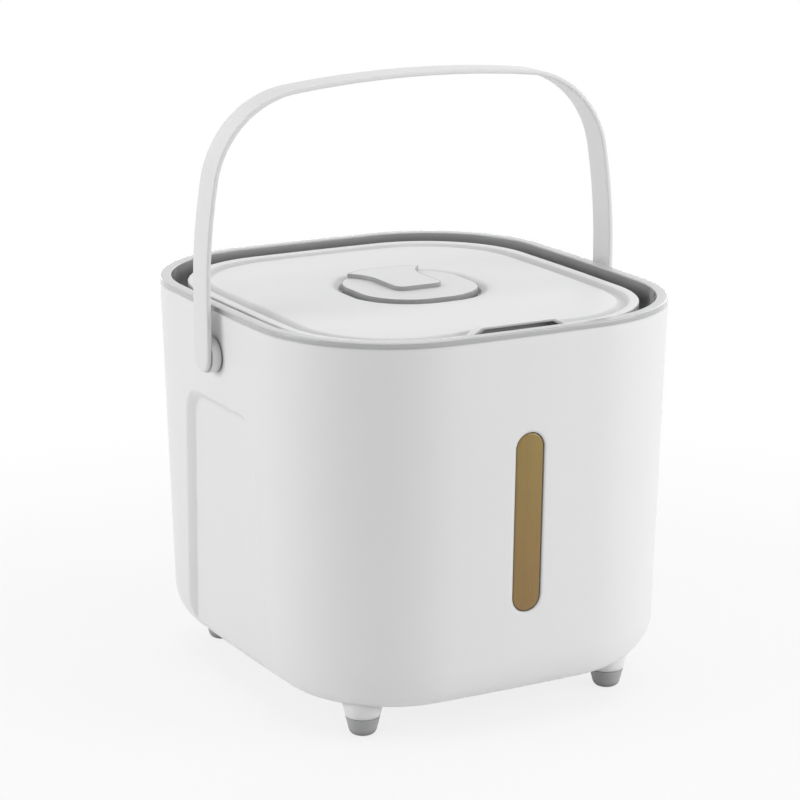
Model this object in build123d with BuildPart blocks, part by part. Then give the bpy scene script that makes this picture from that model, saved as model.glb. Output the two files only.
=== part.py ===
from build123d import *
import math
import os

# Bucket, measured over its rim. The front faces -Y and the floor is at zero.
rim_width = 224.0
rim_depth = 246.0
rim_height = 206.5
rim_corner_radius = 71.6
side_bow = 3.7
wall_taper = 5.6
base_height = 15.0
base_edge_radius = 25.0
shell_wall = 2.4
shell_floor = 2.6
cut_overrun = 1.0
inlay_clearance = 0.05
press_clearance = 0.05
moving_clearance = 0.3

# Grey collar on the shell's top edge.
collar_band = 2.5
collar_top_width = 6.0
collar_wall = 2.0
collar_edge_radius = 0.7
locating_ring_height = 5.0
locating_ring_clearance = 0.15
seat_depth = 14.5
shelf_thickness = 2.0
skirt_wall = 2.0
skirt_clearance = 0.8
skirt_cover = 14.0

# Finger recesses in the side walls.
recess_floor_width = 69.6
recess_foot_width = 94.0
recess_depth = 3.7
recess_drop = 28.5
recess_corner_radius = 12.0
recess_mitre_share = 0.414

# Sight glass in the front wall.
window_width = 16.2
window_length = 92.5
window_center = 109.3
window_clearance = 0.1
window_sink = 0.3
window_flange_width = 3.5
window_flange_thickness = 1.5

# Leg stubs and rubber feet.
foot_inset_x = 40.2
foot_inset_y = 41.0
foot_height = 10.0
foot_radius = 8.9
foot_taper = 14.0
foot_edge_radius = 3.6
stub_height = 7.0
stub_flare = 13.0
stub_root_height = 11.0
stem_radius = 3.0
stem_length = 4.5
stem_end_space = 0.5

# Carrying handle and its pivots.
pivot_drop = 25.0
handle_rise = 135.1
handle_leg_gap = 4.6
handle_leg_rise = 30.7
handle_corner_inset = 14.0
handle_corner_drop = 9.2
handle_shoulder_radius = 52.8
handle_corner_shares = (0.796, 0.875)
handle_width = 16.4
handle_thickness = 2.6
handle_edge_radius = 0.9
hub_radius = 9.0
hub_clearance = 0.6
stud_radius = 4.0
stud_clearance = 0.06
stud_tip_length = 0.6
boss_radius = 8.0
boss_depth = 1.2
clip_radius = 7.0
clip_thickness = 1.2
clip_groove_depth = 0.8
clip_mouth_width = 5.6
clip_groove_space = 0.05

# Lid cover.
lid_inset = 13.4
lid_drop = 3.0
lid_plate = 2.0
lid_skirt_wall = 1.6
lid_edge_radius = 0.8
lid_rounding = 3.6
groove_inset = 18.2
groove_outer_foot = 20.4
groove_inner_foot = 22.8
groove_drop = 5.4
groove_edge_radius = 1.6
groove_floor_radius = 1.0
panel_inset = 26.3
panel_drop = 3.2
panel_edge_radius = 2.0
dish_wall_inset = 18.0
dome_rise = 1.3
dome_thickness = 2.2

# Raised finger lip in the lid's front edge.
lip_base_half = 26.5
lip_top_half = 20.5
lip_rise = 3.8
lip_wall = 1.1
lip_corner_radius = 3.0
lip_reach = 8.0
lip_back_bevel = 2.4

# Lid base.
base_gap = 0.1
base_plate_thickness = 1.8
spigot_inset = 20.5
spigot_wall = 2.0
spigot_length = 8.5
spigot_clearance = 0.6
pocket_half_width = 25.5
pocket_back_wall = 2.0
lid_rib_thickness = 1.6
seal_inset = 15.6
seal_lift = 0.3
seal_thickness = 2.2

# Cap in the middle of the lid.
cap_width = 65.0
cap_depth = 69.0
cap_corner_radius = 28.0
cap_drop = 1.2
cap_height = 4.6
cap_roof = 2.0
cap_wall = 2.0
cap_floor_gap = 0.4
moat_width = 6.2
moat_knee_width = 2.0
moat_knee_drop = 1.7
moat_foot = 0.8
moat_tray = 2.2
grip_height = 2.2
grip_front = 12.3
grip_half_width = 13.4
grip_flare_start = 12.0
grip_flare_radius = 22.8
grip_flare_sweep = 75.0
grip_corner_radius = 5.0
face_thickness = 0.8
face_margin = 0.25
neck_inset = 5.0
neck_corner_radius = 22.0
neck_wall = 2.0
neck_drop = 8.5
neck_top_gap = 0.3
neck_hole_clearance = 0.2
neck_flange_width = 3.0
neck_flange_thickness = 1.2
plug_clearance = 0.3
plug_wall = 2.0
plug_length = 8.9
plug_groove_depth = 0.9
plug_groove_height = 2.4
plug_groove_drop = 5.0

# Cup for the drying packet under the cap.
cup_wall = 1.6
cup_depth = 24.0
cup_fit = 0.1
cup_slot_width = 3.0
cup_slot_length = 30.0
cup_slot_pitch = 8.0
cup_slot_count = 5

pivot_height = rim_height - pivot_drop
recess_top = pivot_height - recess_drop
foot_sole_radius = foot_radius - foot_height * math.tan(math.radians(foot_taper))
stub_root_radius = foot_radius + stub_height * math.tan(math.radians(stub_flare))
foot_offset_x = rim_width / 2 - foot_inset_x
foot_offset_y = rim_depth / 2 - foot_inset_y
handle_half_span = rim_width / 2 + handle_leg_gap + handle_thickness
handle_top = pivot_height + handle_rise
handle_leg_top = pivot_height + handle_leg_rise
handle_corner_half = handle_half_span - handle_corner_inset
handle_corner_height = handle_top - handle_corner_drop
shell_top = rim_height - collar_band
wall_slope = wall_taper / (rim_height - base_height)
lid_top = rim_height - lid_drop
lid_underside = lid_top - lid_plate
panel_edge_height = rim_height - panel_drop
groove_floor = rim_height - groove_drop
panel_underside = groove_floor - lid_plate
dome_top = panel_edge_height + dome_rise
seat_height = rim_height - seat_depth
shelf_bottom = seat_height - shelf_thickness
lid_half_depth = rim_depth / 2 - lid_inset
lip_top = lid_top + lip_rise
cap_top = rim_height - cap_drop
cap_bottom = cap_top - cap_height
moat_floor = cap_bottom - cap_floor_gap
grip_top = cap_top + grip_height
base_plate_bottom = seat_height + seal_lift + seal_thickness
base_plate_top = base_plate_bottom + base_plate_thickness
lid_skirt_length = lid_top - base_plate_bottom
neck_bottom = base_plate_bottom - neck_drop
dome_half_depth = rim_depth / 2 - panel_inset
dome_half_width = rim_width / 2 - panel_inset
panel_at_moat = dome_top - dome_rise * ((cap_depth / 2 + moat_width) / dome_half_depth) ** 2


def taper_at(height):
    """Inset of the outer wall from the rim outline at a height."""
    return wall_slope * (rim_height - height)


def bowed_sketch(height, inset, rounding=0):
    """Rim outline, moved inward by an inset and with corners rounded further, on a level plane."""
    half_x = rim_width / 2 - inset
    half_y = rim_depth / 2 - inset
    corner_x = half_x - side_bow * (2 * half_y / rim_depth) ** 2
    corner_y = half_y - side_bow * (2 * half_x / rim_width) ** 2
    with BuildSketch(Plane.XY.offset(height)) as outline:
        with BuildLine():
            ThreePointArc((corner_x, -corner_y), (half_x, 0), (corner_x, corner_y))
            ThreePointArc((corner_x, corner_y), (0, half_y), (-corner_x, corner_y))
            ThreePointArc((-corner_x, corner_y), (-half_x, 0), (-corner_x, -corner_y))
            ThreePointArc((-corner_x, -corner_y), (0, -half_y), (corner_x, -corner_y))
        make_face()
        fillet(outline.vertices(), radius=rim_corner_radius - inset + rounding)
    return outline.sketch


def lid_sketch(height, inset):
    """Lid outline at an inset from the rim, on a level plane."""
    return bowed_sketch(height, inset, lid_rounding)


def tapered_block(low, high, inset):
    """Solid between two levels whose wall follows the bucket's taper."""
    foot = bowed_sketch(low, inset + taper_at(low))
    head = bowed_sketch(high, inset + taper_at(high))
    with BuildPart() as block:
        loft([foot, head], ruled=True)
        base_edges = block.edges().group_by(Axis.Z)[0]
        fillet(base_edges, radius=base_edge_radius - inset)
    return block.part


def recess_block(side, skin):
    """Finger recess of one side wall, thickened outward by a skin."""
    wall_x = side * (rim_width / 2 - taper_at(recess_top))
    wall_plane = Plane(origin=(wall_x, 0, recess_top), x_dir=(0, side, 0), z_dir=(side, 0, -wall_slope))
    floor_half = recess_floor_width / 2 + skin * recess_mitre_share
    foot_spread = (recess_foot_width - recess_floor_width) / 2
    spread = recess_depth + skin + cut_overrun
    sections = []
    for growth, lift in ((0, -recess_depth - skin), (spread, cut_overrun)):
        section_width = 2 * (floor_half + growth)
        section_top = skin * recess_mitre_share + growth
        with BuildSketch(wall_plane.offset(lift)) as section:
            with BuildLine():
                Polyline(
                    (-section_width / 2 - foot_spread, -recess_top),
                    (section_width / 2 + foot_spread, -recess_top),
                    (section_width / 2, section_top),
                    (-section_width / 2, section_top),
                    close=True,
                )
            make_face()
            top_corners = section.vertices().group_by(Axis.Y)[-1]
            fillet(top_corners, radius=recess_corner_radius + growth)
        sections.append(section.sketch)
    with BuildPart() as block:
        loft(sections, ruled=True)
    return block.part


def cap_sketch(height, growth):
    """Rounded-square outline of the cap, grown outward, on a level plane."""
    with BuildSketch(Plane.XY.offset(height)) as outline:
        RectangleRounded(cap_width + 2 * growth, cap_depth + 2 * growth, cap_corner_radius + growth)
    return outline.sketch


def neck_sketch(height, growth):
    """Neck outline at a growth from the cap's sides, on a level plane."""
    with BuildSketch(Plane.XY.offset(height)) as outline:
        RectangleRounded(cap_width + 2 * growth, cap_depth + 2 * growth, neck_corner_radius + growth)
    return outline.sketch


def grip_sketch(height, growth):
    """Bell-shaped outline of the cap's grip, grown outward, within the cap."""
    half_width = grip_half_width + growth
    front = -grip_front - growth
    flare_center = grip_half_width + grip_flare_radius
    flare_radius = grip_flare_radius - growth
    with BuildSketch(Plane.XY.offset(height)) as outline:
        with BuildLine():
            front_edge = Line((-half_width, front), (half_width, front))
            Line(front_edge @ 1, (half_width, grip_flare_start))
            Line(front_edge @ 0, (-half_width, grip_flare_start))
            right_flare = CenterArc((flare_center, grip_flare_start), flare_radius, 180, -grip_flare_sweep)
            left_flare = CenterArc((-flare_center, grip_flare_start), flare_radius, 0, grip_flare_sweep)
            right_back = Line(right_flare @ 1, ((right_flare @ 1).X, cap_depth))
            left_back = Line(left_flare @ 1, ((left_flare @ 1).X, cap_depth))
            Line(right_back @ 1, left_back @ 1)
        make_face()
        front_corners = outline.vertices().group_by(Axis.Y)[0]
        fillet(front_corners, radius=grip_corner_radius + growth)
        RectangleRounded(
            cap_width + 2 * min(growth, 0),
            cap_depth + 2 * min(growth, 0),
            cap_corner_radius + min(growth, 0),
            mode=Mode.INTERSECT,
        )
    return outline.sketch


def dome_block(drop, inset):
    """Domed lid panel above its flat underside, lowered by a drop, within an inset."""
    crown = dome_top - drop
    sphere_radius = (dome_half_depth**2 + dome_rise**2) / (2 * dome_rise)
    sphere_center = crown - sphere_radius
    brim_radius = (sphere_radius**2 - (panel_underside - sphere_center) ** 2) ** 0.5
    middle_radius = brim_radius / 2
    middle_height = sphere_center + (sphere_radius**2 - middle_radius**2) ** 0.5
    with BuildPart() as block:
        with BuildSketch(Plane.XZ):
            with BuildLine():
                Line((0, panel_underside), (brim_radius, panel_underside))
                ThreePointArc((brim_radius, panel_underside), (middle_radius, middle_height), (0, crown))
                Line((0, crown), (0, panel_underside))
            make_face()
        revolve(axis=Axis.Z)
        scale(by=(dome_half_width / dome_half_depth, 1, 1))
        extrude(lid_sketch(panel_underside, inset), amount=crown - panel_underside, mode=Mode.INTERSECT)
    return block.part


def lip_sketch(wall, root):
    """Front elevation of the finger lip from its root, moved inward by a wall."""
    with BuildSketch(Plane.XZ) as outline:
        with BuildLine():
            Polyline(
                (-lip_base_half + wall, root),
                (lip_base_half - wall, root),
                (lip_base_half - wall, lid_top - wall),
                (lip_top_half - wall, lip_top - wall),
                (-lip_top_half + wall, lip_top - wall),
                (-lip_base_half + wall, lid_top - wall),
                close=True,
            )
        make_face()
        top_corners = outline.vertices().group_by(Axis.Y)[-1]
        fillet(top_corners, radius=lip_corner_radius - wall)
    return outline.sketch


# Outer shell: tapered bucket with leg stubs, recesses, sight-glass slot and pivot holes.
shell_body = tapered_block(base_height, shell_top, 0)
left_recess = recess_block(-1, 0)
right_recess = recess_block(1, 0)
cavity_body = tapered_block(base_height + shell_floor, shell_top, shell_wall)
left_liner = recess_block(-1, shell_wall)
right_liner = recess_block(1, shell_wall)
with BuildPart() as shell_cavity:
    add(cavity_body)
    add(left_liner, mode=Mode.SUBTRACT)
    add(right_liner, mode=Mode.SUBTRACT)

window_wall = -(rim_depth / 2 - taper_at(window_center))
window_plane = Plane(origin=(0, window_wall, window_center), x_dir=(1, 0, 0), z_dir=(0, -1, -wall_slope))
pivot_wall = rim_width / 2 - taper_at(pivot_height)
boss_face = pivot_wall - shell_wall - boss_depth
foot_pitch_x = 2 * foot_offset_x
foot_pitch_y = 2 * foot_offset_y

with BuildPart() as outer_shell:
    add(shell_body)
    with BuildSketch(Plane.XY.offset(foot_height)):
        with GridLocations(foot_pitch_x, foot_pitch_y, 2, 2):
            Circle(foot_radius)
    extrude(amount=stub_height, taper=-stub_flare)
    with BuildSketch(Plane.XY.offset(foot_height + stub_height)):
        with GridLocations(foot_pitch_x, foot_pitch_y, 2, 2):
            Circle(stub_root_radius)
    extrude(amount=stub_root_height)
    add(shell_cavity.part, mode=Mode.SUBTRACT)
    add(left_recess, mode=Mode.SUBTRACT)
    add(right_recess, mode=Mode.SUBTRACT)
    with BuildSketch(window_plane.offset(cut_overrun)):
        SlotOverall(window_length, window_width, rotation=90)
    extrude(amount=-(2 * cut_overrun + shell_wall), mode=Mode.SUBTRACT)
    for side in (-1, 1):
        with BuildSketch(Plane.YZ.offset(side * boss_face)):
            with Locations((0, pivot_height)):
                Circle(boss_radius)
        extrude(amount=side * (boss_depth + shell_wall / 2))
        with BuildSketch(Plane.YZ.offset(side * (boss_face - cut_overrun))):
            with Locations((0, pivot_height)):
                Circle(stud_radius + stud_clearance)
        extrude(amount=side * (boss_depth + shell_wall + 2 * cut_overrun), mode=Mode.SUBTRACT)
    with BuildSketch(Plane.XY.offset(foot_height)):
        with GridLocations(foot_pitch_x, foot_pitch_y, 2, 2):
            Circle(stem_radius + press_clearance)
    extrude(amount=stem_length + stem_end_space, mode=Mode.SUBTRACT)

# Rim collar: top ring, seat for the lid and a skirt that covers the handle's pivots.
collar_wall_inset = collar_top_width - collar_wall
locating_ring_bottom = shell_top - locating_ring_height
locating_ring_inset = shell_wall + taper_at(locating_ring_bottom) + locating_ring_clearance
stud_tip = boss_face - moving_clearance - clip_thickness - stud_tip_length
skirt_inset = rim_width / 2 - stud_tip + skirt_clearance
skirt_bottom = pivot_height - skirt_cover
shelf_inset = spigot_inset - spigot_clearance

with BuildPart() as rim_collar:
    extrude(bowed_sketch(shell_top, 0), amount=collar_band)
    extrude(bowed_sketch(locating_ring_bottom, locating_ring_inset), amount=locating_ring_height)
    extrude(bowed_sketch(shelf_bottom, collar_wall_inset), amount=shell_top - shelf_bottom)
    extrude(bowed_sketch(seat_height, collar_top_width), amount=seat_depth, mode=Mode.SUBTRACT)
    collar_top_edges = rim_collar.edges().group_by(Axis.Z)[-1]
    fillet(collar_top_edges, radius=collar_edge_radius)
    extrude(bowed_sketch(skirt_bottom, skirt_inset), amount=shelf_bottom - skirt_bottom)
    extrude(
        bowed_sketch(skirt_bottom, skirt_inset + skirt_wall),
        amount=shelf_bottom - skirt_bottom,
        mode=Mode.SUBTRACT,
    )
    extrude(bowed_sketch(shelf_bottom, shelf_inset), amount=shelf_thickness, mode=Mode.SUBTRACT)

# Sight glass: flush pill with a flange behind the wall.
window_seat = shell_wall + window_clearance
with BuildPart() as window_lens:
    with BuildSketch(window_plane.offset(-window_seat)):
        SlotOverall(window_length - 2 * window_clearance, window_width - 2 * window_clearance, rotation=90)
    extrude(amount=window_seat - window_sink)
    with BuildSketch(window_plane.offset(-window_seat)):
        SlotOverall(
            window_length + 2 * window_flange_width,
            window_width + 2 * window_flange_width,
            rotation=90,
        )
    extrude(amount=-window_flange_thickness)


def foot_part(x_side, y_side):
    """Rubber foot with a push-in stem under one leg stub."""
    center = (x_side * foot_offset_x, y_side * foot_offset_y)
    with BuildPart() as foot:
        with BuildSketch(Plane.XY):
            with Locations(center):
                Circle(foot_sole_radius)
        extrude(amount=foot_height, taper=-foot_taper)
        sole_edges = foot.edges().group_by(Axis.Z)[0]
        fillet(sole_edges, radius=foot_edge_radius)
        with BuildSketch(Plane.XY.offset(foot_height)):
            with Locations(center):
                Circle(stem_radius)
        extrude(amount=stem_length)
    return foot.part


front_left_foot = foot_part(-1, -1)
front_right_foot = foot_part(1, -1)
rear_left_foot = foot_part(-1, 1)
rear_right_foot = foot_part(1, 1)

# Carrying handle: arched strap, round leg ends, hubs and grooved studs.
leg_inner_face = handle_half_span - handle_thickness
hub_face = pivot_wall + hub_clearance
clip_face = boss_face - moving_clearance
groove_outer = clip_face + clip_groove_space
groove_width = clip_thickness + 2 * clip_groove_space
groove_radius = stud_radius - clip_groove_depth
strap_foot = pivot_height - 2 * handle_width


def strap_sketch(inset):
    """Closed side profile of the handle's strap, moved inward by an inset."""
    half_span = handle_half_span - inset
    corner_half = handle_corner_half - inset * handle_corner_shares[0]
    corner_height = handle_corner_height - inset * handle_corner_shares[1]
    with BuildSketch(Plane.XZ) as outline:
        with BuildLine():
            right_leg = Line((half_span, strap_foot), (half_span, handle_leg_top))
            left_leg = Line((-half_span, strap_foot), (-half_span, handle_leg_top))
            right_lean = TangentArc(right_leg @ 1, (corner_half, corner_height), tangent=(0, 1))
            left_lean = TangentArc(left_leg @ 1, (-corner_half, corner_height), tangent=(0, 1))
            ThreePointArc(right_lean @ 1, (0, handle_top - inset), left_lean @ 1)
            Line(left_leg @ 0, right_leg @ 0)
        make_face()
        shoulders = outline.vertices().group_by(Axis.Y)[-1]
        fillet(shoulders, radius=handle_shoulder_radius - inset)
    return outline.sketch


with BuildPart() as handle:
    with BuildSketch(Plane.XZ):
        add(strap_sketch(0))
        add(strap_sketch(handle_thickness), mode=Mode.SUBTRACT)
        with Locations((0, strap_foot)):
            Rectangle(rim_width * 2, 2 * (pivot_height - strap_foot), mode=Mode.SUBTRACT)
    extrude(amount=handle_width / 2, both=True)
    for side in (-1, 1):
        with BuildSketch(Plane.YZ.offset(side * leg_inner_face)):
            with Locations((0, pivot_height)):
                Circle(handle_width / 2)
        extrude(amount=side * handle_thickness)
    long_edges = handle.edges().filter_by(GeomType.CIRCLE).filter_by(lambda edge: edge.radius > stud_radius)
    fillet(long_edges, radius=handle_edge_radius)
    for side in (-1, 1):
        with BuildSketch(Plane.YZ.offset(side * hub_face)):
            with Locations((0, pivot_height)):
                Circle(hub_radius)
        extrude(amount=side * (leg_inner_face - hub_face))
        with BuildSketch(Plane.YZ.offset(side * stud_tip)):
            with Locations((0, pivot_height)):
                Circle(stud_radius)
        extrude(amount=side * (hub_face - stud_tip))
        with BuildSketch(Plane.YZ.offset(side * groove_outer)):
            with Locations((0, pivot_height)):
                Circle(stud_radius + cut_overrun)
                Circle(groove_radius, mode=Mode.SUBTRACT)
        extrude(amount=-side * groove_width, mode=Mode.SUBTRACT)


def clip_part(side):
    """Open ring that snaps into the groove of one handle stud."""
    with BuildPart() as clip:
        with BuildSketch(Plane.YZ.offset(side * clip_face)):
            with Locations((0, pivot_height)):
                Circle(clip_radius)
                Circle(groove_radius + press_clearance, mode=Mode.SUBTRACT)
            with Locations((0, pivot_height - clip_radius)):
                Rectangle(clip_mouth_width, 2 * clip_radius, mode=Mode.SUBTRACT)
        extrude(amount=-side * clip_thickness)
    return clip.part


left_pivot_clip = clip_part(-1)
right_pivot_clip = clip_part(1)

# Lid cover: flange, groove, domed panel with a moat round the cap, and the finger lip.
dome_outer = dome_block(0, groove_inner_foot)
dome_inner = dome_block(dome_thickness, panel_inset)
tray_growth = moat_width + moat_tray
tray_bottom = moat_floor - moat_tray
outer_slope = (groove_outer_foot - groove_inset) / (lid_top - groove_floor)
inner_slope = (panel_inset - groove_inner_foot) / (panel_edge_height - groove_floor)
moat_knee = panel_at_moat - moat_knee_drop
moat_slope_share = (dome_top - moat_knee) / (panel_at_moat - moat_knee)
moat_reach = moat_knee_width + (moat_width - moat_knee_width) * moat_slope_share
with BuildPart() as raised_panel:
    add(dome_outer)
    loft(
        [
            lid_sketch(panel_underside, groove_inner_foot - inner_slope * lid_plate),
            lid_sketch(dome_top + cut_overrun, panel_inset + inner_slope * (dome_rise + cut_overrun)),
        ],
        ruled=True,
        mode=Mode.INTERSECT,
    )
    panel_top = raised_panel.faces().sort_by(Axis.Z)[-1]
    fillet(panel_top.outer_wire().edges(), radius=panel_edge_radius)

with BuildPart() as panel_space:
    add(dome_inner)
    extrude(cap_sketch(tray_bottom, tray_growth), amount=dome_top - tray_bottom, mode=Mode.SUBTRACT)

with BuildPart() as lip_block:
    extrude(lip_sketch(0, lid_underside), amount=lid_half_depth)
    extrude(lip_sketch(0, lid_underside), amount=lid_half_depth - lip_reach, mode=Mode.SUBTRACT)
    lip_top_edges = lip_block.edges().group_by(Axis.Z)[-1]
    lip_back_edge = lip_top_edges.filter_by(Axis.X).sort_by(Axis.Y)[-1]
    chamfer(lip_back_edge, length=lip_back_bevel)
    extrude(lid_sketch(panel_underside, lid_inset), amount=2 * lip_rise + groove_drop, mode=Mode.INTERSECT)

with BuildPart() as lip_space:
    extrude(lip_sketch(lip_wall, lid_underside - cut_overrun), amount=lid_half_depth + cut_overrun)
    extrude(lip_sketch(lip_wall, lid_underside - cut_overrun), amount=lid_half_depth - lip_reach + lip_back_bevel, mode=Mode.SUBTRACT)

with BuildPart() as lid_cover:
    extrude(lid_sketch(lid_top - lid_skirt_length, lid_inset), amount=lid_skirt_length)
    flange_edge = lid_cover.edges().group_by(Axis.Z)[-1]
    fillet(flange_edge, radius=lid_edge_radius)
    loft(
        [
            lid_sketch(groove_floor, groove_outer_foot),
            lid_sketch(lid_top + cut_overrun, groove_inset - outer_slope * cut_overrun),
        ],
        ruled=True,
        mode=Mode.SUBTRACT,
    )
    flange_face = lid_cover.faces().sort_by(Axis.Z)[-1]
    fillet(flange_face.inner_wires()[0].edges(), radius=groove_edge_radius)
    groove_face = lid_cover.faces().filter_by(Plane.XY).sort_by(Axis.Z)[-2]
    fillet(groove_face.outer_wire().edges(), radius=groove_floor_radius)
    add(raised_panel.part)
    extrude(
        lid_sketch(lid_top - lid_skirt_length, lid_inset + lid_skirt_wall),
        amount=panel_underside - lid_top + lid_skirt_length,
        mode=Mode.SUBTRACT,
    )
    with BuildSketch(Plane.XY.offset(panel_underside)):
        add(lid_sketch(0, lid_inset + lid_skirt_wall))
        add(lid_sketch(0, dish_wall_inset), mode=Mode.SUBTRACT)
    extrude(amount=lid_underside - panel_underside, mode=Mode.SUBTRACT)
    add(panel_space.part, mode=Mode.SUBTRACT)
    add(lip_block.part)
    add(lip_space.part, mode=Mode.SUBTRACT)
    with BuildSketch(Plane.XZ.offset(lid_half_depth - lid_skirt_wall - cut_overrun)):
        with Locations((0, (base_plate_top + lid_top) / 2)):
            Rectangle(2 * (lip_base_half - lip_wall), lid_top - base_plate_top)
    extrude(amount=lid_skirt_wall + 2 * cut_overrun, mode=Mode.SUBTRACT)
    loft(
        [
            cap_sketch(moat_floor, moat_foot),
            cap_sketch(moat_knee, moat_knee_width),
        ],
        ruled=True,
        mode=Mode.SUBTRACT,
    )
    loft(
        [
            cap_sketch(moat_knee, moat_knee_width),
            cap_sketch(dome_top, moat_reach),
        ],
        ruled=True,
        mode=Mode.SUBTRACT,
    )
    extrude(
        neck_sketch(tray_bottom, neck_hole_clearance - neck_inset),
        amount=2 * moat_tray,
        mode=Mode.SUBTRACT,
    )

# Lid base: plate inside the cover's skirt, stiffening ribs and the spigot that centres the lid.
base_plate_inset = lid_inset + lid_skirt_wall + base_gap
neck_top = moat_floor - neck_top_gap
spigot_bottom = base_plate_bottom - spigot_length
pocket_back = rim_depth / 2 - dish_wall_inset
rib_length_x = rim_width - 2 * panel_inset
rib_length_y = rim_depth - 2 * panel_inset

with BuildPart() as lid_base:
    extrude(lid_sketch(base_plate_bottom, base_plate_inset), amount=base_plate_thickness)
    with BuildSketch(Plane.XY.offset(base_plate_top)):
        with Locations((0, -pocket_back + pocket_back_wall / 2)):
            Rectangle(2 * pocket_half_width, pocket_back_wall)
        Rectangle(rib_length_x, lid_rib_thickness)
        Rectangle(lid_rib_thickness, rib_length_y)
        add(neck_sketch(0, neck_flange_width - neck_inset + press_clearance), mode=Mode.SUBTRACT)
    extrude(amount=panel_underside - base_plate_top)
    extrude(lid_sketch(spigot_bottom, spigot_inset), amount=spigot_length)
    extrude(
        lid_sketch(spigot_bottom, spigot_inset + spigot_wall),
        amount=spigot_length,
        mode=Mode.SUBTRACT,
    )
    extrude(
        neck_sketch(base_plate_bottom, press_clearance - neck_inset),
        amount=base_plate_thickness,
        mode=Mode.SUBTRACT,
    )

# Cap neck: sleeve through the lid base that holds the cap's plug.
with BuildPart() as cap_neck:
    extrude(neck_sketch(neck_bottom, -neck_inset), amount=neck_top - neck_bottom)
    extrude(neck_sketch(base_plate_top, neck_flange_width - neck_inset), amount=neck_flange_thickness)
    extrude(
        neck_sketch(neck_bottom, -neck_inset - neck_wall),
        amount=neck_top - neck_bottom,
        mode=Mode.SUBTRACT,
    )

# Lid seal: flat ring under the lid base, above the collar's seat.
seal_bottom = base_plate_bottom - seal_thickness
with BuildPart() as lid_seal:
    extrude(lid_sketch(seal_bottom, seal_inset), amount=base_plate_bottom - seal_bottom)
    extrude(
        lid_sketch(seal_bottom, spigot_inset - press_clearance),
        amount=base_plate_bottom - seal_bottom,
        mode=Mode.SUBTRACT,
    )

# Cap body: rounded-square pad, bell-shaped grip and a plug that fits the neck.
face_floor = cap_top - face_thickness
grip_face_floor = grip_top - face_thickness
plug_growth = -neck_inset - neck_wall - plug_clearance
plug_bottom = cap_bottom - plug_length
plug_groove_bottom = cap_bottom - plug_groove_drop
with BuildPart() as cap_body:
    extrude(cap_sketch(cap_bottom, 0), amount=cap_height)
    extrude(cap_sketch(cap_bottom, -cap_wall), amount=cap_height - cap_roof, mode=Mode.SUBTRACT)
    extrude(cap_sketch(face_floor, -face_margin), amount=face_thickness, mode=Mode.SUBTRACT)
    extrude(grip_sketch(face_floor, 0), amount=grip_top - face_floor)
    extrude(grip_sketch(grip_face_floor, -face_margin), amount=face_thickness, mode=Mode.SUBTRACT)
    extrude(neck_sketch(plug_bottom, plug_growth), amount=plug_length + cap_height - cap_roof)
    extrude(
        neck_sketch(plug_bottom, plug_growth - plug_wall),
        amount=plug_length + cap_height - cap_roof,
        mode=Mode.SUBTRACT,
    )
    with BuildSketch(Plane.XY.offset(plug_groove_bottom)):
        add(neck_sketch(0, plug_growth + cut_overrun))
        add(neck_sketch(0, plug_growth - plug_groove_depth), mode=Mode.SUBTRACT)
    extrude(amount=plug_groove_height, mode=Mode.SUBTRACT)

with BuildPart() as cap_face:
    with BuildSketch(Plane.XY.offset(face_floor)):
        add(cap_sketch(0, -face_margin - inlay_clearance))
        add(grip_sketch(0, inlay_clearance), mode=Mode.SUBTRACT)
    extrude(amount=face_thickness)

with BuildPart() as grip_face:
    extrude(grip_sketch(grip_face_floor, -face_margin - inlay_clearance), amount=face_thickness)

# Cap seal: ring in the plug's groove.
with BuildPart() as cap_seal:
    with BuildSketch(Plane.XY.offset(plug_groove_bottom + press_clearance)):
        add(neck_sketch(0, -neck_inset - neck_wall - press_clearance))
        add(neck_sketch(0, plug_growth - plug_groove_depth + press_clearance), mode=Mode.SUBTRACT)
    extrude(amount=plug_groove_height - 2 * press_clearance)

# Desiccant cup: slotted cup pushed on the lower end of the neck.
cup_bottom = base_plate_bottom - cup_depth
cup_growth = -neck_inset + cup_fit
with BuildPart() as desiccant_cup:
    extrude(neck_sketch(cup_bottom, cup_growth + cup_wall), amount=cup_depth)
    extrude(neck_sketch(cup_bottom + cup_wall, cup_growth), amount=cup_depth - cup_wall, mode=Mode.SUBTRACT)
    with BuildSketch(Plane.XY.offset(cup_bottom)):
        with GridLocations(cup_slot_pitch, 0, cup_slot_count, 1):
            SlotOverall(cup_slot_length, cup_slot_width, rotation=90)
    extrude(amount=cup_wall, mode=Mode.SUBTRACT)

subparts = {
    "outer_shell": outer_shell.part,
    "rim_collar": rim_collar.part,
    "window_lens": window_lens.part,
    "front_left_foot": front_left_foot,
    "front_right_foot": front_right_foot,
    "rear_left_foot": rear_left_foot,
    "rear_right_foot": rear_right_foot,
    "handle": handle.part,
    "left_pivot_clip": left_pivot_clip,
    "right_pivot_clip": right_pivot_clip,
    "lid_cover": lid_cover.part,
    "lid_base": lid_base.part,
    "cap_neck": cap_neck.part,
    "lid_seal": lid_seal.part,
    "cap_body": cap_body.part,
    "cap_face": cap_face.part,
    "grip_face": grip_face.part,
    "cap_seal": cap_seal.part,
    "desiccant_cup": desiccant_cup.part,
}

os.makedirs("parts", exist_ok=True)
for label, subpart in subparts.items():
    subpart.label = label
    export_step(subpart, f"parts/{label}.step")
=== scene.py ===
"""Looks of a grain storage container: its finishes, small moulded pieces, studio and camera."""

import logging
import math
from dataclasses import dataclass, field, replace
from enum import Enum
from typing import Iterable, Mapping

import bmesh
import bpy
from mathutils import Matrix, Vector


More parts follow.
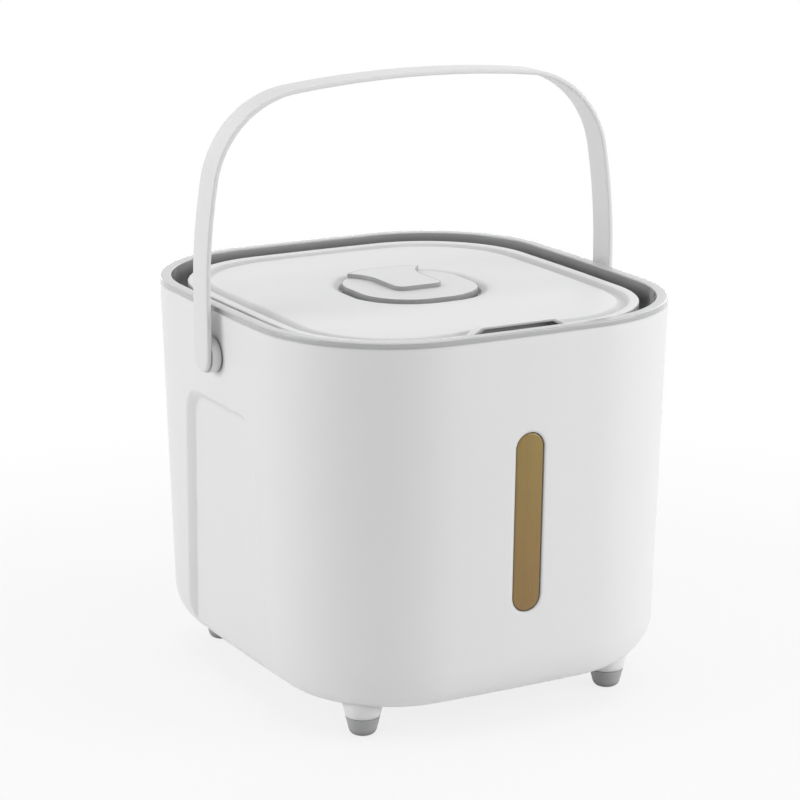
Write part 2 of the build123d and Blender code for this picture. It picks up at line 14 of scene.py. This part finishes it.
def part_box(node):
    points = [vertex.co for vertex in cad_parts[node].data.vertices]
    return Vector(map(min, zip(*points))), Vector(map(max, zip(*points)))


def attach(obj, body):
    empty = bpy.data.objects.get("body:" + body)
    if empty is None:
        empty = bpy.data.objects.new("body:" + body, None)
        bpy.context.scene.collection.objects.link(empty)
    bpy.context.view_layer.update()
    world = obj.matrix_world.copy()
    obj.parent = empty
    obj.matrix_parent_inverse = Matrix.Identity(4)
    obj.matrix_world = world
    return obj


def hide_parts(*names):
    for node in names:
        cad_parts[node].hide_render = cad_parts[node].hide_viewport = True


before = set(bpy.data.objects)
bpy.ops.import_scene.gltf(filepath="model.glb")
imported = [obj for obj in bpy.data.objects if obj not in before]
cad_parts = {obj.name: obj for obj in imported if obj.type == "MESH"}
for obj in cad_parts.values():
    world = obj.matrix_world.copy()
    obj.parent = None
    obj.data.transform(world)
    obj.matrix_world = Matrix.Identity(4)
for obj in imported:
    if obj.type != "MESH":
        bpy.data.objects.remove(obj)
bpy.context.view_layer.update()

LOG = logging.getLogger("grain_container")

Triple = tuple[float, float, float]
Number = float | int

PLASTIC_IOR = 1.49
NOISE_MIDDLE = 0.5
WHITE_LIGHT = (1.0, 1.0, 1.0, 1.0)

# Sockets of a Mix node that blends colours.
MIX_FIRST, MIX_SECOND, MIX_RESULT = 6, 7, 2

OPENNESS_SAMPLES = 8
EDGE_SAMPLES = 6

# How the meshes are welded, and the angles from which an edge is drawn sharp.
CAD_WELD = 0.000004
CAD_EDGE_ANGLE = math.radians(28.0)
PIECE_WELD = 0.000002
PIECE_EDGE_ANGLE = math.radians(32.0)


class Body(Enum):
    """Moving bodies of the container."""

    BUCKET = "bucket"
    HANDLE = "handle"
    LID = "lid"
    CAP = "cap"


class Slot(Enum):
    """Material slots of the pieces that are modelled here."""

    FOOT = "grey_rubber"
    AMBER = "amber_plastic"


@dataclass(frozen=True)
class Pattern:
    """A noise pattern: cells per metre, number of finer layers and their weight."""

    per_metre: float
    detail: float = 2.0
    weight: float = 0.5


@dataclass(frozen=True)
class Signal:
    """A shader value: arithmetic on it adds Math nodes to its graph."""

    graph: "Graph"
    socket: bpy.types.NodeSocket

    def _math(
        self, operation: str, other: "Signal | Number", flipped: bool = False
    ) -> "Signal":
        """Adds one Math node.

        Args:
            operation: Name of the Math node's operation.
            other: The second operand.
            flipped: True where the other operand comes first.

        Returns:
            The node's value.
        """
        first, second = (other, self) if flipped else (self, other)
        return self.graph.node("ShaderNodeMath", {"operation": operation}, {0: first, 1: second})

    def __add__(self, other: "Signal | Number") -> "Signal":
        """Sum of two values."""
        return self._math("ADD", other)

    def __radd__(self, other: Number) -> "Signal":
        """Sum with a number on the left."""
        return self._math("ADD", other, True)

    def __sub__(self, other: "Signal | Number") -> "Signal":
        """Difference of two values."""
        return self._math("SUBTRACT", other)

    def __rsub__(self, other: Number) -> "Signal":
        """Difference with a number on the left."""
        return self._math("SUBTRACT", other, True)

    def __mul__(self, other: "Signal | Number") -> "Signal":
        """Product of two values."""
        return self._math("MULTIPLY", other)

    def __rmul__(self, other: Number) -> "Signal":
        """Product with a number on the left."""
        return self._math("MULTIPLY", other, True)

    def larger(self, other: "Signal | Number") -> "Signal":
        """The larger of two values."""
        return self._math("MAXIMUM", other)


@dataclass
class Graph:
    """Node tree of a material or world, with one method that adds any node."""

    tree: bpy.types.NodeTree

    def node(
        self,
        kind: str,
        settings: Mapping[str, object] | None = None,
        inputs: Mapping[str | int, object] | None = None,
        output: str | int = 0,
    ) -> Signal:
        """Adds a node, sets it up and feeds its sockets.

        Args:
            kind: The node's type name.
            settings: Values set on the node first.
            inputs: Values or signals for its sockets, by name or number.
            output: The socket that is returned.

        Returns:
            The chosen output of the new node.
        """
        made = self.tree.nodes.new(kind)
        for name, value in (settings or {}).items():
            setattr(made, name, value)
        self.feed(made, inputs or {})
        return Signal(self, made.outputs[output])

    def feed(self, target: bpy.types.Node, inputs: Mapping[str | int, object]) -> None:
        """Feeds a node's sockets.

        Args:
            target: The node.
            inputs: Constant values or signals for its sockets, by name or number.
        """
        for key, value in inputs.items():
            socket = target.inputs[key]
            if isinstance(value, Signal):
                self.tree.links.new(value.socket, socket)
            else:
                socket.default_value = value

    def object_place(self) -> Signal:
        """Place on the piece, in the object's own frame, in metres."""
        return self.node("ShaderNodeTexCoord", output="Object")

    def noise(self, pattern: Pattern, place: Signal | None = None) -> Signal:
        """Adds a noise pattern.

        Args:
            pattern: The pattern.
            place: Where it is read; the object's own frame if not given.

        Returns:
            A value around one half.
        """
        sockets = {
            "Vector": place or self.object_place(),
            "Scale": pattern.per_metre,
            "Detail": pattern.detail,
            "Roughness": pattern.weight,
        }
        return self.node("ShaderNodeTexNoise", {}, sockets)

    def share_between(
        self, value: Signal, low: float, high: float, curve: str = "LINEAR"
    ) -> Signal:
        """Share of the way between two values, held between 0 and 1.

        Args:
            value: The value.
            low: Where the share is 0.
            high: Where the share is 1.
            curve: How the share grows between them.

        Returns:
            The share.
        """
        settings = {"clamp": True, "interpolation_type": curve}
        sockets = {"Value": value, "From Min": low, "From Max": high}
        return self.node("ShaderNodeMapRange", settings, sockets)

    def height(self, low: float, high: float) -> Signal:
        """Share of the way up between two levels.

        Args:
            low: Level where the share is 0, in metres.
            high: Level where the share is 1, in metres.

        Returns:
            The share, held between 0 and 1.
        """
        level = self.node("ShaderNodeSeparateXYZ", {}, {"Vector": self.object_place()}, "Z")
        return self.share_between(level, low, high)

    def openness(self, reach: float, shut: float) -> Signal:
        """Adds how open a place is to its surroundings, the mask for painted shade.

        Args:
            reach: Distance within which a neighbouring surface counts, in metres.
            shut: Openness that counts as fully shut in.

        Returns:
            0 where nearby surfaces close the place in, 1 on an open face.
        """
        settings = {"samples": OPENNESS_SAMPLES}
        seen = self.node("ShaderNodeAmbientOcclusion", settings, {"Distance": reach}, "AO")
        return self.share_between(seen, shut, 1.0)

    def mix_colour(
        self, share: Signal, first: "Signal | Triple", second: "Signal | Triple"
    ) -> Signal:
        """Blends two colours by a share.

        Args:
            share: 0 for the first colour, 1 for the second.
            first: A colour, or a signal that carries one.
            second: A colour, or a signal that carries one.

        Returns:
            The blend.
        """
        ends = [end if isinstance(end, Signal) else (*end, 1.0) for end in (first, second)]
        sockets = {"Factor": share, MIX_FIRST: ends[0], MIX_SECOND: ends[1]}
        return self.node("ShaderNodeMix", {"data_type": "RGBA"}, sockets, MIX_RESULT)

    def bump(self, height: Signal, depth: float, normal: Signal | None = None) -> Signal:
        """Adds a fine relief.

        Args:
            height: Height of the relief, 0 to 1.
            depth: What a height of 1 stands for, in metres.
            normal: Direction of the face below it, where that isn't the mesh's own.

        Returns:
            The face's direction with the relief on it.
        """
        sockets = {"Strength": 1.0, "Distance": depth, "Height": height}
        if normal is not None:
            sockets["Normal"] = normal
        return self.node("ShaderNodeBump", {}, sockets)


def new_material(name: str) -> tuple[bpy.types.Material, Graph, bpy.types.Node]:
    """Starts a material.

    Args:
        name: Its name.

    Returns:
        The material, its graph and its principled shader.
    """
    made = bpy.data.materials.new(name)
    made.use_nodes = True
    return made, Graph(made.node_tree), made.node_tree.nodes["Principled BSDF"]


@dataclass(frozen=True)
class MouldedFinish:
    """Moulded plastic or rubber: drifting tone, fine skin, soft edges and painted shade in
    crevices.
    """

    name: str
    colour: Triple
    shade: Triple
    roughness: float
    roughness_spread: float
    grain: Pattern
    grain_depth: float
    edge_radius: float
    coat: float = 0.0
    coat_roughness: float = 0.12
    # Painted shade in crevices: its darkness, how far neighbours count, and the openness at which
    # it is full.
    crevice_shade: float = 0.55
    crevice_shade_reach: float = 0.004
    crevice_shade_shut: float = 0.25
    drift: Pattern = Pattern(9.0, 3.0)
    drift_share: float = 0.7
    smear: Pattern = Pattern(38.0, 4.0, 0.55)
    grain_gloss_share: float = 0.4

    def material(self) -> bpy.types.Material:
        """Builds the finish.

        Returns:
            A new material.
        """
        made, graph, shader = new_material(self.name)
        skin = graph.noise(self.grain)
        smear = graph.noise(self.smear)
        settings = {"samples": EDGE_SAMPLES}
        edge = graph.node("ShaderNodeBevel", settings, {"Radius": self.edge_radius})
        sockets = {
            "Base Color": self._tone(graph, smear),
            "Roughness": self._gloss(smear, skin),
            "Normal": graph.bump(skin, self.grain_depth, edge),
            "IOR": PLASTIC_IOR,
            "Coat Weight": self.coat,
            "Coat Roughness": self.coat_roughness,
        }
        graph.feed(shader, sockets)
        return made

    def _tone(self, graph: Graph, smear: Signal) -> Signal:
        """Colour that drifts over the piece, with painted shade that darkens it in crevices.

        Args:
            graph: The material's graph.
            smear: The pattern of smears.

        Returns:
            The colour.
        """
        drift = graph.noise(self.drift)
        share = (drift * self.drift_share + smear * (1.0 - self.drift_share)).larger(0.0)
        unshaded_colour = graph.mix_colour(share, self.shade, self.colour)
        # Painted shade: the colour darkens where nearby surfaces close the place in.
        painted_shade_colour = tuple(channel * self.crevice_shade for channel in self.shade)
        return graph.mix_colour(graph.openness(self.crevice_shade_reach, self.crevice_shade_shut), painted_shade_colour, unshaded_colour)

    def _gloss(self, smear: Signal, skin: Signal) -> Signal:
        """Roughness that varies with smears and grain.

        Args:
            smear: The pattern of smears.
            skin: The pattern of the grain.

        Returns:
            The roughness.
        """
        smeared = (smear - NOISE_MIDDLE) * self.roughness_spread
        grained = (skin - NOISE_MIDDLE) * (self.grain_gloss_share * self.roughness_spread)
        return self.roughness + smeared + grained


@dataclass(frozen=True)
class AmberFinish:
    """Smoked amber sheet: golden at the top, browner below, faintly streaked along its length,
    with painted shade at its rim.
    """

    name: str
    upper: Triple
    lower: Triple
    # Darker colour of the clouds and streaks, and of the painted rim shade.
    mottle_and_rim_shade: Triple
    levels: tuple[float, float]
    roughness: float
    roughness_spread: float = 0.08
    cloud: Pattern = Pattern(60.0, 3.0, 0.6)
    cloud_share: float = 0.5
    streak: Pattern = Pattern(1.0)
    streaks_per_metre: Triple = (620.0, 620.0, 24.0)
    depth_start: float = 0.42
    depth_gain: float = 1.4
    # Painted shade at the rim: how far neighbours count, and the openness at which it is full.
    rim_shade_reach: float = 0.0022
    rim_shade_shut: float = 0.2
    ripple: Pattern = Pattern(140.0)
    ripple_depth: float = 0.00002
    coat: float = 0.2
    coat_roughness: float = 0.08

    def material(self) -> bpy.types.Material:
        """Builds the finish.

        Returns:
            A new material.
        """
        made, graph, shader = new_material(self.name)
        scaled = {"Vector": graph.object_place(), "Scale": self.streaks_per_metre}
        streak = graph.noise(self.streak, graph.node("ShaderNodeMapping", {}, scaled))
        sockets = {
            "Base Color": self._tone(graph, streak),
            "Roughness": self.roughness + (streak - NOISE_MIDDLE) * self.roughness_spread,
            "Normal": graph.bump(graph.noise(self.ripple), self.ripple_depth),
            "IOR": PLASTIC_IOR,
            "Coat Weight": self.coat,
            "Coat Roughness": self.coat_roughness,
        }
        graph.feed(shader, sockets)
        return made

    def _tone(self, graph: Graph, streak: Signal) -> Signal:
        """Colour that changes with height, deepens in clouds and streaks, and darkens at the rim
        as painted shade.

        Args:
            graph: The material's graph.
            streak: The pattern of streaks.

        Returns:
            The colour.
        """
        sheet = graph.mix_colour(graph.height(*self.levels), self.lower, self.upper)
        mottle = graph.noise(self.cloud) * self.cloud_share + streak * (1.0 - self.cloud_share)
        depth = ((mottle - self.depth_start) * self.depth_gain).larger(0.0)
        # Painted shade: the sheet darkens at its rim, where the body closes it in.
        rim = 1.0 - graph.openness(self.rim_shade_reach, self.rim_shade_shut)
        return graph.mix_colour(depth.larger(rim), sheet, self.mottle_and_rim_shade)


class Look(Enum):
    """Finishes of the container; every moulded finish carries painted shade in its crevices."""

    WHITE = MouldedFinish(
        name="white_moulded_plastic",
        colour=(0.865, 0.866, 0.868),
        shade=(0.838, 0.839, 0.842),
        roughness=0.44,
        roughness_spread=0.10,
        grain=Pattern(2600.0, 3.0, 0.6),
        grain_depth=0.000012,
        edge_radius=0.0006,
    )
    SHELL = replace(WHITE, name="white_shell_plastic", edge_radius=0.0030)
    # Strap: the white plastic made darker as painted shade.
    STRAP = replace(
        WHITE,
        name="white_strap_shaded_plastic",
        colour=(0.822, 0.823, 0.825),
        shade=(0.790, 0.791, 0.794),
    )
    # Lid: the white plastic made lighter as painted light, with strong painted shade in the groove
    # round its panel and at its side by the collar.
    LID = replace(
        WHITE,
        name="white_lid_lit_and_shaded_plastic",
        colour=(0.885, 0.886, 0.888),
        shade=(0.860, 0.861, 0.864),
        crevice_shade=0.72,
        crevice_shade_reach=0.0075,
        crevice_shade_shut=0.87,
    )
    GREY = MouldedFinish(
        name="grey_moulded_plastic",
        colour=(0.455, 0.457, 0.462),
        shade=(0.420, 0.422, 0.427),
        roughness=0.27,
        roughness_spread=0.08,
        grain=Pattern(2400.0, 3.0, 0.6),
        grain_depth=0.000010,
        edge_radius=0.0004,
        # Light painted shade in crevices.
        crevice_shade=0.80,
    )
    COLLAR = MouldedFinish(
        name="pale_grey_collar",
        colour=(0.500, 0.502, 0.507),
        shade=(0.460, 0.462, 0.467),
        roughness=0.20,
        roughness_spread=0.06,
        grain=Pattern(2400.0, 3.0, 0.6),
        grain_depth=0.000006,
        edge_radius=0.0005,
        coat=0.8,
        # Painted shade reaching far, which darkens the collar's inner wall beside the lid.
        crevice_shade=0.42,
        crevice_shade_reach=0.022,
    )
    FOOT = MouldedFinish(
        name="grey_foot_rubber",
        colour=(0.440, 0.442, 0.446),
        shade=(0.385, 0.387, 0.391),
        roughness=0.50,
        roughness_spread=0.16,
        grain=Pattern(1800.0, 3.0, 0.6),
        grain_depth=0.000030,
        edge_radius=0.0005,
    )
    AMBER = AmberFinish(
        name="smoked_amber_sheet",
        upper=(0.310, 0.205, 0.046),
        lower=(0.280, 0.165, 0.046),
        mottle_and_rim_shade=(0.215, 0.125, 0.036),
        levels=(0.065, 0.150),
        roughness=0.26,
    )
    SEAL = MouldedFinish(
        name="pale_seal_rubber",
        colour=(0.70, 0.70, 0.69),
        shade=(0.63, 0.63, 0.62),
        roughness=0.55,
        roughness_spread=0.12,
        grain=Pattern(1500.0, 3.0, 0.6),
        grain_depth=0.000020,
        edge_radius=0.0004,
    )
    CUP = MouldedFinish(
        name="frosted_cup_plastic",
        colour=(0.78, 0.78, 0.77),
        shade=(0.73, 0.73, 0.72),
        roughness=0.42,
        roughness_spread=0.12,
        grain=Pattern(1900.0, 3.0, 0.6),
        grain_depth=0.000015,
        edge_radius=0.0004,
    )


@dataclass
class Finishes:
    """The container's finishes as materials, each made once."""

    materials: dict[Look, bpy.types.Material] = field(init=False)

    def __post_init__(self) -> None:
        """Builds every finish."""
        self.materials = {look: look.value.material() for look in Look}

    def dress(self, node: str, look: Look) -> None:
        """Gives a CAD node its finish and smooth shading broken at real edges.

        Args:
            node: Name of the CAD node.
            look: Its finish.
        """
        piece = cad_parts[node]
        piece.data.materials.clear()
        piece.data.materials.append(self.materials[look])
        piece.data.polygons.foreach_set("use_smooth", [True] * len(piece.data.polygons))
        weld = piece.modifiers.new("weld", "WELD")
        weld.merge_threshold = CAD_WELD
        split = piece.modifiers.new("edges", "EDGE_SPLIT")
        split.split_angle = CAD_EDGE_ANGLE
        LOG.info("dressed %s", node)


def add_object(name: str, data: bpy.types.ID) -> bpy.types.Object:
    """Adds an object to the scene.

    Args:
        name: Its name.
        data: Its mesh, lamp or camera data.

    Returns:
        The object, at the origin.
    """
    made = bpy.data.objects.new(name, data)
    bpy.context.scene.collection.objects.link(made)
    return made


def finish_mesh(
    name: str, shape: bmesh.types.BMesh, material: bpy.types.Material
) -> bpy.types.Object:
    """Turns a bmesh into an object at the origin.

    Args:
        name: Name of the piece.
        shape: The mesh, in metres in the container's frame; it is freed.
        material: The finish.

    Returns:
        The new object.
    """
    bmesh.ops.remove_doubles(shape, verts=shape.verts, dist=PIECE_WELD)
    bmesh.ops.recalc_face_normals(shape, faces=shape.faces)
    for face in shape.faces:
        face.smooth = True
    mesh = bpy.data.meshes.new(name)
    shape.to_mesh(mesh)
    shape.free()
    mesh.materials.append(material)
    piece = add_object(name, mesh)
    split = piece.modifiers.new("edges", "EDGE_SPLIT")
    split.split_angle = PIECE_EDGE_ANGLE
    return piece


def stand_in(piece: bpy.types.Object, node: str) -> None:
    """Puts a modelled piece of the bucket in the place of its CAD node.

    Args:
        piece: The piece.
        node: Name of the CAD node.
    """
    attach(piece, Body.BUCKET.value)
    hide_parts(node)
    LOG.info("built %s", piece.name)


def spun(
    profile: Iterable[tuple[float, float]], centre: Vector, steps: int
) -> bmesh.types.BMesh:
    """Spins a half profile about an upright axis.

    Args:
        profile: Radius and height pairs from the axis outward and back to it.
        centre: A point on the axis at height zero.
        steps: Number of steps round.

    Returns:
        The closed shape.
    """
    shape = bmesh.new()
    ring = [shape.verts.new(centre + Vector((radius, 0.0, height))) for radius, height in profile]
    edges = [shape.edges.new(pair) for pair in zip(ring, ring[1:])]
    bmesh.ops.spin(
        shape,
        geom=[*ring, *edges],
        cent=centre,
        axis=(0.0, 0.0, 1.0),
        angle=math.tau,
        steps=steps,
        use_merge=True,
    )
    return shape


@dataclass
class Foot:
    """Tapered rubber foot with a round sole edge and two tread grooves."""

    node: str
    pad_top: float = 0.010
    lean: float = math.radians(14.0)
    bend: float = 0.0036
    bend_steps: int = 9
    rim_break: float = 0.0005
    groove_radii: tuple[float, ...] = (0.0012, 0.0024)
    groove_width: float = 0.0005
    groove_depth: float = 0.0005
    steps: int = 56

    def build(self, finishes: Finishes) -> None:
        """Models the foot over its CAD node.

        Args:
            finishes: The container's finishes.
        """
        low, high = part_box(self.node)
        centre = Vector(((low.x + high.x) / 2, (low.y + high.y) / 2, 0.0))
        shape = spun(self._profile((high.x - low.x) / 2), centre, self.steps)
        piece = finish_mesh(self.node + "_pad", shape, finishes.materials[Look.FOOT])
        stand_in(piece, self.node)

    def _profile(self, radius: float) -> list[tuple[float, float]]:
        """Lays out the foot's half section.

        Args:
            radius: Radius at the top of the rubber.

        Returns:
            Radius and height pairs from the middle of the sole to the middle of the top.
        """
        line: list[tuple[float, float]] = [(0.0, 0.0)]
        for groove in self.groove_radii:
            line.append((groove - self.groove_width, 0.0))
            line.append((groove - self.groove_width / 2, self.groove_depth))
            line.append((groove + self.groove_width / 2, self.groove_depth))
            line.append((groove + self.groove_width, 0.0))
        sole = radius - self.pad_top * math.tan(self.lean)
        middle = sole - self.bend * (1.0 - math.sin(self.lean)) / math.cos(self.lean)
        quarter = math.pi / 2
        for step in range(self.bend_steps):
            turn = -quarter + (quarter - self.lean) * step / (self.bend_steps - 1)
            out = middle + self.bend * math.cos(turn)
            line.append((out, self.bend + self.bend * math.sin(turn)))
        line.append((radius - self.rim_break / 4, self.pad_top - self.rim_break))
        line.append((radius - self.rim_break, self.pad_top))
        line.append((0.0, self.pad_top))
        return line


@dataclass
class SightWindow:
    """Smoked amber lens in the front wall: a face with a polished round edge on a flange."""

    node: str = "window_lens"
    width: float = 0.0162
    length: float = 0.0925
    gap: float = 0.00025
    flange: float = 0.0035
    flange_thickness: float = 0.0015
    rise: float = 0.0024
    edge: float = 0.0010
    edge_segments: int = 5
    wall_lean: float = 0.0056
    wall_height: float = 0.1915
    steps: int = 56

    def build(self, finishes: Finishes) -> None:
        """Models the lens over its CAD node.

        Args:
            finishes: The container's finishes.
        """
        shape = bmesh.new()
        front = self._raised(shape, self._outline(shape), self.flange_thickness)
        margin = self.flange + self.gap
        bmesh.ops.inset_region(shape, faces=front, thickness=margin, use_even_offset=True)
        face = self._raised(shape, front, self.rise)
        bmesh.ops.bevel(
            shape,
            geom=list(face[0].edges),
            offset=self.edge,
            segments=self.edge_segments,
            profile=0.5,
            affect="EDGES",
            material=-1,
        )
        bmesh.ops.transform(shape, matrix=self._stance(), verts=shape.verts)
        piece = finish_mesh(self.node + "_pane", shape, finishes.materials[Look.AMBER])
        stand_in(piece, self.node)

    def _outline(self, shape: bmesh.types.BMesh) -> list[bmesh.types.BMFace]:
        """Draws the flange's pill outline in a level plane.

        Args:
            shape: The mesh.

        Returns:
            The face inside the outline.
        """
        radius = self.width / 2 + self.flange
        bmesh.ops.create_circle(shape, cap_ends=True, radius=radius, segments=self.steps)
        half_step = Matrix.Rotation(math.pi / self.steps, 3, "Z")
        bmesh.ops.rotate(shape, cent=(0.0, 0.0, 0.0), matrix=half_step, verts=shape.verts)
        reach = (self.length - self.width) / 2
        for side in (1.0, -1.0):
            end = [vert for vert in shape.verts if vert.co.y * side > 0.0]
            bmesh.ops.translate(shape, vec=(0.0, side * reach, 0.0), verts=end)
        return shape.faces[:]

    @staticmethod
    def _raised(
        shape: bmesh.types.BMesh, faces: list[bmesh.types.BMFace], rise: float
    ) -> list[bmesh.types.BMFace]:
        """Extrudes faces straight out.

        Args:
            shape: The mesh.
            faces: Faces in one level plane.
            rise: How far they go.

        Returns:
            The faces at the new level.
        """
        grown = bmesh.ops.extrude_face_region(shape, geom=faces)["geom"]
        moved = [item for item in grown if isinstance(item, bmesh.types.BMVert)]
        bmesh.ops.translate(shape, vec=(0.0, 0.0, rise), verts=moved)
        return [item for item in grown if isinstance(item, bmesh.types.BMFace)]

    def _stance(self) -> Matrix:
        """Places the lens: its flange against the inside of the leaning front wall.

        Returns:
            The matrix from the lens's own plane to the container's frame.
        """
        low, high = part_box(self.node)
        slope = self.wall_lean / self.wall_height
        outward = Vector((0.0, -1.0, -slope)).normalized()
        across = Vector((1.0, 0.0, 0.0))
        upward = outward.cross(across)
        turn = Matrix((across, upward, outward)).transposed().to_4x4()
        half_lean = (high.z - low.z) / 2 * slope
        middle = Vector((0.0, high.y - half_lean, (low.z + high.z) / 2))
        return Matrix.Translation(middle) @ turn


@dataclass
class Bucket:
    """Shell, collar, sight window and feet."""

    body: Body = Body.BUCKET
    feet: tuple[str, ...] = (
        "front_left_foot",
        "front_right_foot",
        "rear_left_foot",
        "rear_right_foot",
    )

    def build(self, finishes: Finishes) -> None:
        """Dresses the shell and collar, and models the window and feet.

        Args:
            finishes: The container's finishes.
        """
        finishes.dress("outer_shell", Look.SHELL)
        finishes.dress("rim_collar", Look.COLLAR)
        SightWindow().build(finishes)
        for node in self.feet:
            Foot(node).build(finishes)


@dataclass
class Handle:
    """Arched strap with its pivot clips."""

    body: Body = Body.HANDLE

    def build(self, finishes: Finishes) -> None:
        """Dresses the strap and the clips.

        Args:
            finishes: The container's finishes.
        """
        finishes.dress("handle", Look.STRAP)
        finishes.dress("left_pivot_clip", Look.GREY)
        finishes.dress("right_pivot_clip", Look.GREY)


@dataclass
class Lid:
    """Cover, base, neck, seal and drying cup."""

    body: Body = Body.LID

    def build(self, finishes: Finishes) -> None:
        """Dresses the lid's pieces.

        Args:
            finishes: The container's finishes.
        """
        finishes.dress("lid_cover", Look.LID)
        finishes.dress("lid_base", Look.GREY)
        finishes.dress("cap_neck", Look.GREY)
        finishes.dress("lid_seal", Look.SEAL)
        finishes.dress("desiccant_cup", Look.CUP)


@dataclass
class Cap:
    """Lift-out cap with its two white faces and its seal."""

    body: Body = Body.CAP

    def build(self, finishes: Finishes) -> None:
        """Dresses the cap's pieces.

        Args:
            finishes: The container's finishes.
        """
        finishes.dress("cap_body", Look.GREY)
        finishes.dress("cap_face", Look.WHITE)
        finishes.dress("grip_face", Look.WHITE)
        finishes.dress("cap_seal", Look.SEAL)


def aim_at(holder: bpy.types.Object, place: Triple, target: Triple) -> None:
    """Puts a lamp or camera in its place and turns it to a point.

    Args:
        holder: The lamp or camera.
        place: Where it stands.
        target: The point that it faces.
    """
    holder.location = place
    facing = Vector(target) - Vector(place)
    holder.rotation_euler = facing.to_track_quat("-Z", "Y").to_euler()


@dataclass(frozen=True)
class SoftBox:
    """One studio lamp: a large soft panel aimed at a point."""

    name: str
    place: Triple
    size: tuple[float, float]
    power: float
    target: Triple = (0.0, 0.0, 0.14)

    def build(self) -> None:
        """Adds the lamp to the scene."""
        lamp = bpy.data.lights.new(self.name, "AREA")
        lamp.shape = "RECTANGLE"
        lamp.size, lamp.size_y = self.size
        lamp.energy = self.power
        aim_at(add_object(self.name, lamp), self.place, self.target)


@dataclass
class Studio:
    """Pale floor, white surround, soft lamps and the camera at the photograph's angle."""

    camera_place: Triple = (-0.69475, -1.25813, 0.52299)
    camera_target: Triple = (-0.00576, 0.0, 0.14426)
    lens: float = 128.2
    sensor_width: float = 36.0
    clip: tuple[float, float] = (0.05, 60.0)
    floor_size: float = 14.0
    floor_colour: Triple = (0.86, 0.86, 0.86)
    floor_glow: float = 0.80
    shadow_reach: tuple[float, float] = (0.18, 0.55)
    ambient: float = 0.255
    lamps: tuple[SoftBox, ...] = (
        SoftBox("left_panel", (-1.9, 0.45, 0.60), (1.4, 1.4), 18.0),
        SoftBox("front_panel", (1.5, -1.45, 0.60), (1.4, 1.4), 24.0),
        SoftBox("top_panel", (0.0, -0.10, 1.90), (1.5, 1.5), 13.0),
        SoftBox("rear_right_panel", (1.7, 1.10, 1.00), (1.4, 1.2), 5.5),
        SoftBox("rear_left_panel", (-0.6, 1.90, 0.90), (1.4, 1.2), 1.2),
        SoftBox("low_rear_panel", (0.75, 1.85, 0.11), (1.6, 0.16), 10.0, (0.0, 0.0, 0.10)),
    )

    def build(self) -> None:
        """Builds the whole studio."""
        bpy.context.scene.view_settings.view_transform = "Standard"
        self._floor()
        self._world()
        for lamp in self.lamps:
            lamp.build()
        self._camera()

    def _seen_share(self, graph: Graph) -> Signal:
        """Adds the share of rays that show the background.

        Args:
            graph: The graph that asks.

        Returns:
            1 for camera, glossy and transmission rays, otherwise 0.
        """
        camera = graph.node("ShaderNodeLightPath", output="Is Camera Ray")
        glossy = graph.node("ShaderNodeLightPath", output="Is Glossy Ray")
        through = graph.node("ShaderNodeLightPath", output="Is Transmission Ray")
        return camera.larger(glossy).larger(through)

    def _floor(self) -> None:
        """Adds the pale floor, which keeps the container's soft shadow."""
        shape = bmesh.new()
        bmesh.ops.create_grid(shape, x_segments=2, y_segments=2, size=self.floor_size / 2)
        mesh = bpy.data.meshes.new("floor")
        shape.to_mesh(mesh)
        shape.free()
        mesh.materials.append(self._floor_paint())
        add_object("floor", mesh)

    def _floor_paint(self) -> bpy.types.Material:
        """Builds the floor's paint: matt near the container, glowing white farther out.

        Returns:
            A new material.
        """
        paint, graph, shader = new_material("pale_floor")
        graph.tree.nodes.remove(shader)
        matt = graph.node("ShaderNodeBsdfDiffuse", {}, {"Color": (*self.floor_colour, 1.0)})
        glow = graph.node("ShaderNodeEmission", {}, {"Color": WHITE_LIGHT, "Strength": 1.0})
        place = {0: graph.object_place()}
        away = graph.node("ShaderNodeVectorMath", {"operation": "LENGTH"}, place, "Value")
        fade = graph.share_between(away, *self.shadow_reach, "SMOOTHSTEP")
        share = self._seen_share(graph) * (self.floor_glow + fade * (1.0 - self.floor_glow))
        mixed = graph.node("ShaderNodeMixShader", {}, {0: share, 1: matt, 2: glow})
        graph.feed(graph.tree.nodes["Material Output"], {"Surface": mixed})
        return paint

    def _world(self) -> None:
        """Adds the white surround, dimmer as light than as background."""
        world = bpy.data.worlds.new("white_surround")
        world.use_nodes = True
        bpy.context.scene.world = world
        graph = Graph(world.node_tree)
        graph.tree.nodes.remove(graph.tree.nodes["Background"])
        lit, seen = (
            graph.node("ShaderNodeBackground", {}, {"Color": WHITE_LIGHT, "Strength": strength})
            for strength in (self.ambient, 1.0)
        )
        share = self._seen_share(graph)
        mixed = graph.node("ShaderNodeMixShader", {}, {0: share, 1: lit, 2: seen})
        graph.feed(graph.tree.nodes["World Output"], {"Surface": mixed})

    def _camera(self) -> None:
        """Adds the camera."""
        data = bpy.data.cameras.new("camera")
        data.sensor_width = self.sensor_width
        data.lens = self.lens
        data.clip_start, data.clip_end = self.clip
        camera = add_object("camera", data)
        aim_at(camera, self.camera_place, self.camera_target)
        bpy.context.scene.camera = camera


def main() -> None:
    """Builds the container's looks and the studio."""
    logging.basicConfig(level=logging.INFO, format="%(name)s: %(message)s")
    finishes = Finishes()
    for assembly in (Bucket(), Handle(), Lid(), Cap()):
        assembly.build(finishes)
        LOG.info("assembled %s", assembly.body.value)
    Studio().build()


if __name__ == "__main__":
    main()
